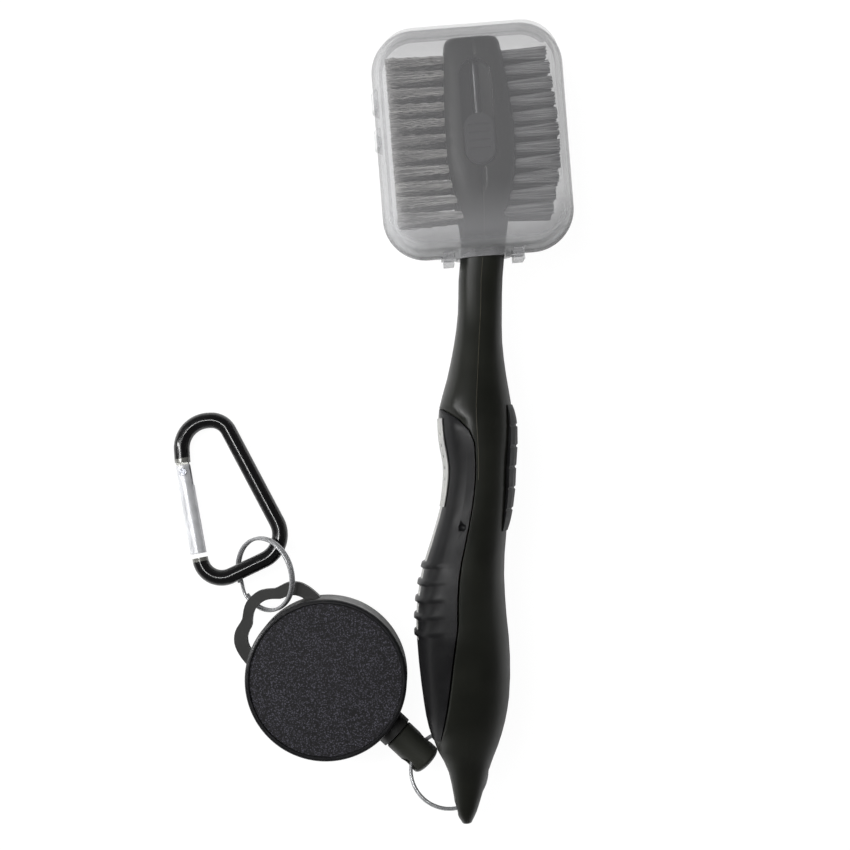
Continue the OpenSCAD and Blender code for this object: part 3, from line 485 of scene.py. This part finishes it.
def dimpled_pad():
    """Rubber painted pale grey, a painted sheen of its lit left edge, with painted
    shade in the two rows of dimples.
    """
    f = Finish("pad_painted_sheen")
    _, y, z = f.parts(f.place())
    # squared distance to the nearest dimple
    off_row = ((z - seam_height).size() - DIMPLE_ROW) ** 2.0
    near = off_row + (y - DIMPLE_FIRST).size() ** 2.0
    for i in range(1, 5):
        dimple = DIMPLE_FIRST - DIMPLE_PITCH * i
        near = near.least(off_row + (y - dimple).size() ** 2.0)
    # painted shade in the dimples, dark where shade falls in their hollows
    dimple_shade = near.step(0.00030 ** 2, 0.00048 ** 2, 1.0, 0.0)
    dust = f.noise(0.004, 4.0, rough=0.65)
    # the pad's pale grey is a painted sheen where its left edge catches the light
    grey = f.blend(dust.step(0.3, 0.75), paint(150, 150, 148), paint(164, 164, 161))
    return rubber(f, f.blend(dimple_shade, grey, paint(14, 14, 14)), dust, 0.45, 0.58, 0.5)


def thumb_rubber():
    f = Finish("pad_black")
    dust = f.noise(0.006, 4.0, rough=0.65)
    tone = paint(19, 19, 20)
    black = f.blend(dust.step(0.35, 0.75), tone, tuple(c * 1.35 + 0.002 for c in tone))
    return rubber(f, black, dust, 0.34, 0.48, 0.22)


for node, name, skin, slot in (
    ("finger_grip", "soft_grip_skin", striped_grip(), "soft_grip"),
    ("finger_pad", "finger_strip", dimpled_pad(), "pad_rubber"),
    ("thumb_pad", "thumb_strip", thumb_rubber(), "pad_rubber"),
):
    piece = smoothed(node, name, skin, limit=24)
    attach(piece, "brush")

# ---- Wire tufts -------------------------------------------------------------
# Crimped steel wires of 0.25 mm, stapled in 44 round tufts on the left side:
# eleven rows of four, all cut to the same line.

draw = np.random.default_rng(7)
ROWS, COLUMNS, PITCH = 11, 4, 0.0038
TOP_ROW = 0.0195
GOLDEN_ANGLE = 2.39996
CRIMP = 0.00022


def strands(roots, tips, sway, radius, sides, rings):
    """Thin rods from roots to tips, all at once. A point of a rod is
    root + (tip - root) t + sway(t) + radius (cos a, sin a) across it, with t
    along the rod and a round it. Each rod ends in one point."""
    count = len(roots)
    t = np.linspace(0, 1, rings)
    line = tips - roots
    way = line / np.linalg.norm(line, axis=1, keepdims=True)
    side = np.cross(way, (0.0, 0.0, 1.0))
    side /= np.linalg.norm(side, axis=1, keepdims=True)
    up = np.cross(side, way)
    middle = roots[:, None] + line[:, None] * t[None, :, None] + sway(t, side, up)
    a = np.arange(sides) * 2 * np.pi / sides
    across = (np.cos(a)[None, None, :, None] * side[:, None, None]
              + np.sin(a)[None, None, :, None] * up[:, None, None])
    skin = middle[:, :, None] + radius * across
    point_ends = middle[:, -1:] + way[:, None] * radius
    points = np.concatenate(
        [skin.reshape(count, -1, 3), roots[:, None], point_ends], axis=1,
    )
    per = rings * sides + 2
    i, j = np.meshgrid(np.arange(rings - 1), np.arange(sides), indexing="ij")
    k = (j + 1) % sides
    quad = np.stack([i * sides + j, (i + 1) * sides + j,
                     (i + 1) * sides + k, i * sides + k], -1).reshape(-1, 4)
    e = np.arange(sides)
    n = (e + 1) % sides
    low = np.stack([e, n, np.full(sides, per - 2)], -1)
    high = np.stack([(rings - 1) * sides + n, (rings - 1) * sides + e,
                     np.full(sides, per - 1)], -1)
    shift = np.arange(count)[:, None, None] * per
    quads = (quad[None] + shift).reshape(-1, 4)
    ends = (np.concatenate([low, high])[None] + shift).reshape(-1, 3)
    return points.reshape(-1, 3), list(quads) + list(ends)


def tuft_seats(node, side):
    """Seat points of the tufts: rows along Y and columns along Z, each at the
    deepest x of the node's own solid in that row."""
    mesh = frame["nodes"][node].data
    v = np.empty(len(mesh.vertices) * 3)
    mesh.vertices.foreach_get("co", v)
    v = v.reshape(-1, 3)
    seats = []
    for row in range(ROWS):
        y = TOP_ROW - PITCH * row
        near = v[np.abs(v[:, 1] - y) < PITCH / 2]
        x = near[:, 0].min() if side > 0 else near[:, 0].max()
        for column in range(COLUMNS):
            z = seam_height + PITCH * (column - (COLUMNS - 1) / 2)
            seats.append((x, y, z))
    return np.array(seats)


def bundle(seats, side, count, root_r, tip_r, length, uneven, lean):
    """Roots and tips of the strands: discs of radius root_r and tip_r filled
    evenly along a sunflower spiral, length metres apart."""
    k = np.arange(count) + 0.5
    r = np.sqrt(k / count)
    a = k * GOLDEN_ANGLE
    spin = draw.uniform(0, 2 * math.pi, len(seats))[:, None]
    y = r * np.cos(a + spin)
    z = r * np.sin(a + spin)
    cross = np.stack([np.zeros_like(y), y, z], -1)
    roots = seats[:, None] + cross * root_r
    reach = (np.asarray(length).reshape(-1, 1, 1)
             + draw.uniform(-uneven, uneven, (len(seats), count, 1)))
    tips = seats[:, None] + cross * tip_r + side * reach * (1.0, 0.0, 0.0)
    tips[:, :, 1:] += draw.normal(0, lean, (len(seats), count, 2))
    return roots.reshape(-1, 3), tips.reshape(-1, 3)


def wire_steel():
    f = Finish("bristle_wire")
    each = f.noise(0.0006, 1.0, at=f.stretched(0.05, 1, 1))
    rust = f.noise(0.004, 3.0)
    # the rows near the handle are paler
    toward_handle = f.parts(f.place())[1].step(-0.019, -0.002, 1.0, 0.0)
    far_tone = f.blend(each.step(0.3, 0.7), paint(140, 138, 137), paint(205, 203, 200))
    pale = f.blend(each.step(0.3, 0.7), paint(160, 159, 157), paint(236, 235, 232))
    bright = f.blend(toward_handle, far_tone, pale)
    base = f.blend(rust.step(0.62, 0.8), bright, paint(92, 78, 62))
    return f.done(f.surface(
        Base_Color=base, Metallic=0.3, Roughness=each.step(0.2, 0.8, 0.3, 0.5),
        Normal=f.bump(f.noise(0.0003), 0.00002, 0.4),
    ))


def crimped(t, side, up):
    """Two waves across a wire, straight at its root, each strand with its own
    phase."""
    phase = draw.uniform(0, 2 * math.pi, (len(side), 1))
    depth = CRIMP * np.minimum(1, 4 * t)
    wave = depth * np.sin(t * 30 + phase)
    cross = depth * np.sin(t * 23 + 2 * phase)
    return wave[:, :, None] * side[:, None] + cross[:, :, None] * up[:, None]


wire_seats = tuft_seats("wire_tufts", -1)
wire_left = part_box("wire_tufts")[0][0]
WIRE_UNEVEN = 0.0003
roots, tips = bundle(
    wire_seats, -1, count=44, root_r=0.00085, tip_r=0.00135,
    length=wire_seats[:, 0] - wire_left - WIRE_UNEVEN, uneven=WIRE_UNEVEN, lean=0.00022,
)
points, faces = strands(roots, tips, crimped, radius=0.000125, sides=3, rings=10)
wires = join("wire_bristles", points, faces, wire_steel(), limit=60)
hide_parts("wire_tufts")
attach(wires, "brush")

# ---- Nylon tufts ------------------------------------------------------------
# Straight grey nylon bristles of 0.3 mm in 44 tufts that spread at their tips,
# on the side away from the wire.


def nylon_grey():
    f = Finish("bristle_nylon")
    each = f.noise(0.0006, 1.0, at=f.stretched(0.05, 1, 1))
    base = f.blend(each.step(0.25, 0.75), paint(104, 104, 105), paint(160, 160, 160))
    return f.done(f.surface(
        Base_Color=base, Roughness=each.step(0.2, 0.8, 0.38, 0.55),
        Normal=f.bump(f.noise(0.0003), 0.00001, 0.4),
    ))


def springy(t, side, up):
    """A slight bow of each bristle, t squared across it."""
    bow = draw.normal(0, 0.00018, (len(side), 1)) * t ** 2
    return bow[:, :, None] * side[:, None]


roots, tips = bundle(
    tuft_seats("nylon_tufts", 1), 1, count=36, root_r=0.0009, tip_r=0.0015,
    length=0.0128, uneven=0.0002, lean=0.0001,
)
points, faces = strands(roots, tips, springy, radius=0.00016, sides=4, rings=5)
nylons = join("nylon_bristles", points, faces, nylon_grey(), limit=60)
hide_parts("nylon_tufts")
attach(nylons, "brush")

# ---- Pick and slider --------------------------------------------------------
# A steel point that scrapes a groove clean, carried by a ridged thumb slider
# in the head's front slot.


def bright_steel(name, tone, rough, lines=(1, 0.05, 1), metal=1.0):
    f = Finish(name)
    drawn = f.noise(0.0004, 2.0, at=f.stretched(*lines))
    wear = f.noise(0.003, 3.0)
    base = f.blend(wear.step(0.3, 0.75), tuple(c * 0.8 for c in tone), tone)
    return f.done(f.surface(
        Base_Color=base, Metallic=metal,
        Roughness=drawn.step(0.2, 0.8, rough * 0.8, rough * 1.35),
        Normal=f.bump(drawn, 0.000006, 0.5),
    ))


steel = bright_steel("pick_steel", paint(150, 150, 152), 0.34)
finish_node("groove_pick", steel)
finish_node("pick_slider", satin_black("slider_grey", paint(52, 52, 53)))

# ---- Case -------------------------------------------------------------------
# Two frosted polypropylene shells with a living hinge at the left and two
# snap hooks beside the neck; the light skin veils what lies inside.

# share of light that a face, its edge, its mouth and the closed seam hold back
FACE_VEIL, EDGE_VEIL, MOUTH_VEIL, SEAM_VEIL = 0.178, 0.05, 0.22, 0.2


def frosted():
    f = Finish("frosted_case")
    at = f.place()
    _, y, z = f.parts(at)
    normal = f.node("ShaderNodeNewGeometry", output="Normal")
    facing = f.parts(normal)[2].size()
    # a wall seen along its own depth is denser than a broad face, and the walls are
    # painted paler: a painted sheen along the rim
    wall = facing.step(0.2, 0.98, 1.0, 0.0)
    seam_line = (z - seam_height).size().step(0.00008, 0.0003, 1.0, 0.0)
    mist = f.noise(0.02, 3.0, at=at)
    grain = f.noise(0.0004, 2.0, at=at)
    # the haze is thicker towards the mouth of the case
    haze = y.step(-0.027, -0.011, MOUTH_VEIL, 0.0)
    # the walls' paler tone is a painted sheen on the case's rim
    skin = f.blend(wall, paint(154, 154, 156), paint(204, 205, 207))
    base = f.blend(seam_line, skin, paint(110, 110, 112))
    veil = (wall * EDGE_VEIL + haze + FACE_VEIL + (mist - 0.5) * 0.02
            + seam_line * SEAM_VEIL)
    return f.done(f.surface(
        Base_Color=base, Alpha=veil,
        Roughness=grain.step(0.2, 0.8, 0.3, 0.42),
        Normal=f.bump(grain, 0.00001, 0.4),
    ))


case_skin = frosted()
for node, name, body in (
    ("case_back", "case_back_shell", "brush"),
    ("case_front", "case_front_shell", "case_lid"),
):
    shell = smoothed(node, name, case_skin, limit=30)
    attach(shell, body)
finish_node("hinge_straps", case_skin)

# ---- Split rings ------------------------------------------------------------
# Two rings of bright spring wire, coiled twice with a little step at each
# end: one in the handle's tail, one on the reel's loop.

RING_WIRE = 0.00088
COIL_TURNS = 1.94
# the coil's two turns lie this share of the wire's width apart
COIL_RISE = 0.94


def coil(centre, normal, radius, start):
    """Helix of almost two turns about a unit normal; its height is -rise/2 for
    the first turn, climbs to +rise/2 past the start, and stays for the second."""
    u = np.cross(normal, [0.0, 1.0, 0.0])
    u /= np.linalg.norm(u)
    v = np.cross(normal, u)
    turn = np.linspace(0, COIL_TURNS, 240)
    a = start + turn * 2 * np.pi
    climb = np.clip((turn - 0.93) / 0.08, 0, 1)
    climb = climb * climb * (3 - 2 * climb)
    h = (climb - 0.5) * RING_WIRE * COIL_RISE
    path = (centre + radius * np.cos(a)[:, None] * u
            + radius * np.sin(a)[:, None] * v + h[:, None] * normal)
    return swept(path, circle(RING_WIRE / 2), normal)


ring_steel = bright_steel("ring_steel", paint(176, 177, 179), 0.26, (1, 1, 1), 0.6)


def ring_of(node, name, normal, start, body):
    low, high = (np.array(c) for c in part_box(node))
    centre = (low + high) / 2
    # the box is 2 (r sqrt(1 - n^2) + reach) wide along each axis
    n = np.asarray(normal, float) / np.linalg.norm(normal)
    reach = RING_WIRE / 2 + 0.46 * RING_WIRE * abs(n[0])
    radius = ((high - low)[0] / 2 - reach) / math.sqrt(1 - n[0] ** 2)
    points, faces = coil(centre, n, radius, start)
    ring = join(name, points, faces, ring_steel, limit=50)
    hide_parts(node)
    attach(ring, body)


ring_of("tail_ring", "tail_split_ring", (0.075, 0.35, 0.935), 3.4, "tail_ring")
ring_of("reel_ring", "reel_split_ring", (-0.62, -0.1, 0.78), 0.6, "reel_ring")

# ---- Connector and cord -----------------------------------------------------
# A black nylon sleeve that the tail ring passes through; the braided cord
# ends in it in a knot and winds up on the reel's spool.

# radians of weave for each metre across and along the cord
WEAVE_ACROSS, WEAVE_ALONG = 5200.0, 2600.0

finish_node("cord_connector",
            satin_black("connector_black", paint(40, 41, 37), 0.25, 0.4))


def braided(name):
    f = Finish(name)
    x, y, z = f.parts(f.place())
    one = ((x + y) * WEAVE_ACROSS + z * WEAVE_ALONG).sine()
    two = ((x - y) * WEAVE_ACROSS - z * WEAVE_ALONG).sine()
    weave = (one * two) * 0.5 + 0.5
    # the weave is painted darker in its hollows and paler on its crossings: painted
    # shade and painted highlight
    base = f.blend(weave, paint(18, 18, 18), paint(46, 46, 47))
    return f.done(f.surface(
        Base_Color=base, Roughness=weave.step(0.0, 1.0, 0.85, 0.7),
        Normal=f.bump(weave, 0.00006, 0.8),
    ))


braid = braided("cord_braid")
for node in ("cord_knot", "wound_cord"):
    finish_node(node, braid)

pull_joint = next(j for j in frame["joints"] if j["name"] == "cord_pull")
pull_way = np.array(pull_joint["axis"], float)
knot_low, knot_high = (np.array(c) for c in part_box("cord_knot"))
knot_at = (knot_low + knot_high) / 2
# rings of the run, set close where it is drawn out between sleeve and nozzle
cord_steps = np.concatenate([
    np.linspace(-0.0003, 0.0027, 6), np.linspace(0.00275, 0.0037, 90),
    np.linspace(0.0040, 0.0105, 12),
])
cord_path = knot_at + cord_steps[:, None] * pull_way
points, faces = swept(cord_path, circle(0.0005), (0, 0, 1))
cord = join("pull_cord_run", points, faces, braid, limit=50)
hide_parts("pull_cord")
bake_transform(cord)

# ---- Reel -------------------------------------------------------------------
# A black housing with a raised rim round a grained face; inside, the cord
# winds on a pale spool turned back by a flat coiled spring.

GRAIN = 0.00042


def reel_black(name, tone, rough):
    """Black moulding, paler where it is rubbed."""
    f = Finish(name)
    rub = f.noise(0.004, 4.0, rough=0.7)
    fleck = f.noise(0.0004, 2.0)
    worn = fleck.step(0.55, 0.75) * rub.step(0.5, 0.7)
    base = f.blend(worn, tone, tuple(c + 0.035 for c in tone))
    return f.done(f.surface(
        Base_Color=base, Roughness=rub.step(0.3, 0.7, rough, rough + 0.14),
        Normal=f.bump(fleck, 0.000012, 0.5),
    ))


def grained_face():
    f = Finish("grained_face")
    at = f.place()
    cells = f.node("ShaderNodeTexVoronoi", {"feature": "F1"},
                   {"Vector": at, "Scale": 1 / GRAIN, "Randomness": 1.0})
    lump = f.noise(0.00028, 2.0, at=at, rough=0.7)
    sand = (lump * 0.65 + (0.75 - cells) * 0.35).step(0.4, 0.6)
    base = f.blend(sand, paint(12, 11, 14), paint(78, 77, 87))
    return f.done(f.surface(
        Base_Color=base, Roughness=lump.step(0.3, 0.7, 0.5, 0.65),
        Normal=f.bump(lump - cells * 0.6, 0.00012, 0.7),
    ))


finish_node("reel_housing", reel_black("reel_housing_black", paint(37, 37, 36), 0.3))
finish_node("reel_cover", reel_black("reel_rim_black", paint(18, 18, 20), 0.26))
finish_node("face_disc", grained_face())


def acetal():
    f = Finish("spool_acetal")
    cloud = f.noise(0.004, 3.0)
    base = f.blend(cloud, paint(226, 221, 208), paint(240, 236, 226))
    return f.done(f.surface(
        Base_Color=base, Roughness=cloud.step(0.2, 0.8, 0.35, 0.5),
        Normal=f.bump(f.noise(0.0004), 0.00001, 0.4),
    ))


finish_node("cord_spool", acetal())
spring_steel = bright_steel("spring_steel", paint(150, 152, 158), 0.3, (1, 1, 0.1))
for node in ("return_spring", "reel_post", "gate_spring"):
    finish_node(node, spring_steel)
finish_node("cord_eyelet", steel)

# ---- Carabiner --------------------------------------------------------------
# Black anodised aluminium rod bent to a D, with a plain satin tube for gate
# that turns on a rivet.

tube = np.array([v.co for v in frame["nodes"]["gate_tube"].data.vertices])
middle = tube.mean(axis=0)
GATE_WAY = np.linalg.svd(tube - middle)[2][0]
GATE_WAY *= -np.sign(GATE_WAY[1])
reach_down = tube @ GATE_WAY
GATE_TOP = reach_down.min() - 0.0004
GATE_FOOT = reach_down.max() + 0.0009
# the rod's straight right leg lies on the other side of this line
GATE_SIDE = middle[0] * GATE_WAY[1] - middle[1] * GATE_WAY[0] - 0.0045


def anodised():
    f = Finish("anodised_black")
    rub = f.noise(0.003, 4.0, rough=0.7)
    fine = f.noise(0.0003, 2.0)
    dark = f.blend(rub.step(0.55, 0.8), paint(16, 16, 17), paint(34, 34, 34))
    # bare metal where the rod's ends are milled flat beside the gate
    x, y, z = f.parts(f.place())
    down = x * GATE_WAY[0] + y * GATE_WAY[1] + z * GATE_WAY[2]
    left = (x * GATE_WAY[1] - y * GATE_WAY[0]).step(GATE_SIDE - 0.0001, GATE_SIDE)
    upper = (down - GATE_TOP).size().step(0.0013, 0.0014, 1.0, 0.0)
    lower = (down - GATE_FOOT).size().step(0.0011, 0.0012, 1.0, 0.0)
    bare = upper.most(lower) * left
    base = f.blend(bare, dark, paint(112, 112, 108))
    return f.done(f.surface(
        Base_Color=base, Metallic=0.35, Coat_Weight=rub.step(0.2, 0.8, 0.7, 0.4),
        Roughness=rub.step(0.3, 0.8, 0.16, 0.3),
        Normal=f.bump(fine, 0.000006, 0.4),
    ))


finish_node("carabiner_body", anodised())
gate_metal = bright_steel("gate_aluminium", paint(214, 215, 218), 0.34,
                          (0.05, 0.02, 1), 0.4)
finish_node("gate_tube", gate_metal)
finish_node("gate_rivet", spring_steel)
